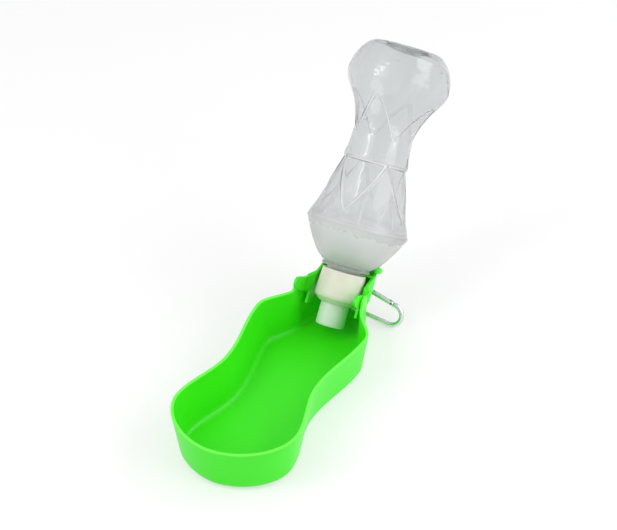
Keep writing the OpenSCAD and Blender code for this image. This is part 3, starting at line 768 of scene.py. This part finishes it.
ring_end = RING_AT + RING_THICK
neck = rounded([(MOUTH_R, MOUTH_AT), (NECK_R, MOUTH_AT), (NECK_R, RING_AT), (RING_R, RING_AT),
                (RING_R, ring_end), (DOME_FOOT_R, ring_end)], [0, 0.3, 0.3, 0.4, 0.4, 0])
outside = [round_ring(r, s) for r, s in neck] + [blown_ring(s, 0) for s in heights]
PUNT_STEPS = 8
punt_turns = [math.pi / 2 * i / PUNT_STEPS for i in range(PUNT_STEPS)]
punt_line = [(PUNT_R * math.cos(turn), PUNT_DEPTH * math.sin(turn)) for turn in punt_turns]
outside += [round_ring(r, BASE_AT - d) for r, d in punt_line] + [[(0, 0, BASE_AT - PUNT_DEPTH)]]
inside = [[(0, 0, BASE_AT - PUNT_DEPTH - BOTTLE_WALL)]]
inside += [round_ring(r, BASE_AT - d - BOTTLE_WALL) for r, d in reversed(punt_line)]
inside += [blown_ring(s, BOTTLE_WALL) for s in reversed(heights[2:-2])]
inside += [round_ring(MOUTH_R, DOME_AT + BOTTLE_WALL), round_ring(MOUTH_R, MOUTH_AT)]
bottle = skin("blown_bottle", outside + inside, bottle_frame, False, False, 22)
# Each point of the skin stores how much painted highlight it carries, which the clear plastic reads.
crease_highlight_marks = bottle.data.attributes.new("crease_highlight", "FLOAT", "POINT")
to_axis = bottle_frame.inverted()
for i, vertex in enumerate(bottle.data.vertices):
    x, y, s = to_axis @ (vertex.co / MM)
    crease_highlight_marks.data[i].value = crease_highlight_at(s, math.atan2(y, x))
dress(bottle, clear)
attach(bottle, "carrier")
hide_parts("bottle")
print("bottle faces:", len(bottle.data.polygons))

# %% [markdown]
# ## Cap, liner, seal and nozzle
# The cap and the nozzle come off a moulding tool as turned shapes, so each is a profile spun round the
# bottle axis: each corner is written as its radius, its height and how far it is rounded. The solids give
# the sizes, and the corners get the small radii that a mould leaves. The liner and the seal keep the
# shapes of their solids and only take their finishes.

# %% Turn the cap
CAP_BORE_R = 13.7
CAP_TOP = 14
PLATE_AT = -1.5
PLATE_END_AT = -3.5
CAP_END_AT = -8.3
NOZZLE_R = 9.8
GUIDE_R = NOZZLE_R + 0.3
CAP_TOP_R = 15
CAP_R = 16
CAP_END_R = 11.8
CORNER = 0.3
STEM_R = 5.5
STEM_BORE_R = 3
FLANGE_R = 6.3
FLANGE_AT = -14.4
STEM_END_AT = -17.2
BORE_END_AT = STEM_END_AT + 1
PLUG_R = 2.4
PLUG_END_AT = -21
cap_corners = [
    (STEM_BORE_R, PLATE_AT, 0), (CAP_BORE_R, PLATE_AT, CORNER), (CAP_BORE_R, CAP_TOP, CORNER),
    (CAP_TOP_R, CAP_TOP, 0.8), (15.1, 12, 0), (CAP_R, -3, 0.6), (15.6, -5, 0.9),
    (CAP_END_R, CAP_END_AT, 0.4), (GUIDE_R, CAP_END_AT, CORNER), (GUIDE_R, PLATE_END_AT, CORNER),
    (STEM_R, PLATE_END_AT, CORNER),
    (STEM_R, FLANGE_AT, 0), (FLANGE_R, FLANGE_AT, CORNER), (FLANGE_R, STEM_END_AT, CORNER),
    (PLUG_R, STEM_END_AT, CORNER), (PLUG_R, PLUG_END_AT, 0.8), (0, PLUG_END_AT, 0), (0, BORE_END_AT, 0),
    (STEM_BORE_R, BORE_END_AT, CORNER), (STEM_BORE_R, PLATE_AT, 0)]
cap_line = rounded([(r, s) for r, s, _ in cap_corners], [bend for _, _, bend in cap_corners])
cap = turned("screw_cap_skin", cap_line)
dress(cap, ivory)
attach(cap, "cap")
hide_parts("screw_cap")
print("cap profile points:", len(cap_line))

# %% Turn the nozzle
NOZZLE_TOP_AT = -8
NOZZLE_END_AT = -24.5
CHAMBER_AT = -14
CHAMBER_R = 8
POUR_R = 2.6
CHAMBER_END_AT = NOZZLE_END_AT + 2
SLEEVE_R = 5.7
nozzle_corners = [
    (SLEEVE_R, NOZZLE_TOP_AT, 0), (SLEEVE_R, CHAMBER_AT, 0.2), (CHAMBER_R, CHAMBER_AT, 0.4),
    (CHAMBER_R, CHAMBER_END_AT, 0.4), (POUR_R, CHAMBER_END_AT, 0.4), (POUR_R, NOZZLE_END_AT, 0.5),
    (NOZZLE_R, NOZZLE_END_AT, 1.4), (NOZZLE_R, NOZZLE_TOP_AT, CORNER), (SLEEVE_R, NOZZLE_TOP_AT, 0)]
nozzle_line = rounded([(r, s) for r, s, _ in nozzle_corners], [bend for _, _, bend in nozzle_corners])
nozzle = turned("nozzle_skin", nozzle_line)
dress(nozzle, milky)
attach(nozzle, "nozzle")
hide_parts("pull_nozzle")
print("nozzle profile points:", len(nozzle_line))

# %% Dress the inner pieces as they are
for name, finish in (("cap_liner", foam), ("stem_seal", rubber)):
    dress(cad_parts[name], finish)
    print(name, "is now", finish.material.name)

# %% [markdown]
# ## Bracket, pins and hook
# The bracket, its pins and the snap hook are exact machined-looking solids already, with the
# right holes and ends. They keep their own shapes and only take their finishes.

# %% Dress the bracket, the pins and the hook
for name, finish in (("bracket", lime), ("hinge_pin_left", lime), ("hinge_pin_right", lime),
                     ("hook_frame", bright), ("hook_gate", bright), ("gate_pin", dark)):
    dress(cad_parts[name], finish)
    print(name, "is now", finish.material.name)

# %% [markdown]
# ## Floor and light
# The floor is a wide pale sheet that runs out under the camera's view. Seen directly, or through
# the bottle, or in the metal, it shows white, while its shaded part keeps the object's shadow. The
# world is an even pale dome. A large key lamp models the shape, a tall strip draws the long light
# on the bottle, and a fill and a rim lamp open the shadows.

# %% Lay the floor
floor_mesh = bpy.data.meshes.new("floor")
SPREAD = 3.0
GLOW_SHARE = 0.5
corners = [(-SPREAD, -SPREAD, 0), (SPREAD, -SPREAD, 0), (SPREAD, SPREAD, 0), (-SPREAD, SPREAD, 0)]
floor_mesh.from_pydata(corners, [], [(0, 1, 2, 3)])
floor = bpy.data.objects.new("floor", floor_mesh)
bpy.context.scene.collection.objects.link(floor)
paper = Finish("pale floor", Roughness=0.9)
paper.surface.inputs["Base Color"].default_value = (0.9, 0.9, 0.9, 1)
glow = paper.tree.nodes.new("ShaderNodeEmission")
glow.inputs["Color"].default_value = (1, 1, 1, 1)
rays = paper.tree.nodes.new("ShaderNodeLightPath")
seen = Wire(paper, rays.outputs["Is Camera Ray"]) + Wire(paper, rays.outputs["Is Glossy Ray"])
seen = seen + Wire(paper, rays.outputs["Is Transmission Ray"])
seen = paper.node("ShaderNodeMath", {"operation": "MINIMUM"}, {0: seen, 1: 1.0})
paper.shade_between(seen * GLOW_SHARE, paper.surface, glow)
floor_mesh.materials.append(paper.material)
print("floor side:", 2 * SPREAD, "m")

# %% Light the object
world = bpy.data.worlds.new("pale dome")
bpy.context.scene.world = world
world.use_nodes = True
dome_light = world.node_tree.nodes["Background"]
dome_light.inputs["Color"].default_value = (1, 1, 1, 1)
dome_light.inputs["Strength"].default_value = 0.74


def soft_lamp(name, side, place, aim, watts, tall=None):
    """A lamp of that width, in metres, square unless it is tall, aimed at a point."""
    lamp = bpy.data.lights.new(name, "AREA")
    lamp.shape = "RECTANGLE"
    lamp.size = side
    lamp.size_y = tall or side
    lamp.energy = watts
    holder = bpy.data.objects.new(name, lamp)
    holder.location = place
    holder.rotation_euler = (Vector(aim) - Vector(place)).to_track_quat("-Z", "Y").to_euler()
    bpy.context.scene.collection.objects.link(holder)
    return holder


middle_of_part = (0, -0.02, 0.07)
soft_lamp("key lamp", 0.7, (-0.5, -0.7, 0.9), middle_of_part, 2)
soft_lamp("strip lamp", 0.12, (-0.55, -0.66, 0.8), middle_of_part, 3, tall=1.1)
soft_lamp("fill lamp", 0.8, (1.1, -0.1, 0.6), middle_of_part, 4.6)
soft_lamp("rim lamp", 0.5, (0.7, 0.5, 0.8), middle_of_part, 3)

# %% [markdown]
# ## Camera
# The camera stands to the right of the nose and looks down on the tray, at the photograph's
# angle. It was found by fitting the rim, the cap and the bottle axis, so it is written as one aim
# point, two angles and a distance.

# %% Place the camera
AZIMUTH = math.radians(27.21)
ELEVATION = math.radians(37.81)
AIM = Vector((-0.0193, 0.0043, 0.0503))
DISTANCE = 1.2018
back = Vector((math.sin(AZIMUTH) * math.cos(ELEVATION), -math.cos(AZIMUTH) * math.cos(ELEVATION),
               math.sin(ELEVATION)))
eye = bpy.data.cameras.new("camera")
eye.lens = 105.04
eye.sensor_width = 36
camera = bpy.data.objects.new("camera", eye)
camera.location = AIM + back * DISTANCE
camera.rotation_euler = back.to_track_quat("Z", "Y").to_euler()
bpy.context.scene.collection.objects.link(camera)
bpy.context.scene.camera = camera
bpy.context.scene.view_settings.view_transform = "Standard"
print("camera at", tuple(round(c, 3) for c in camera.location))
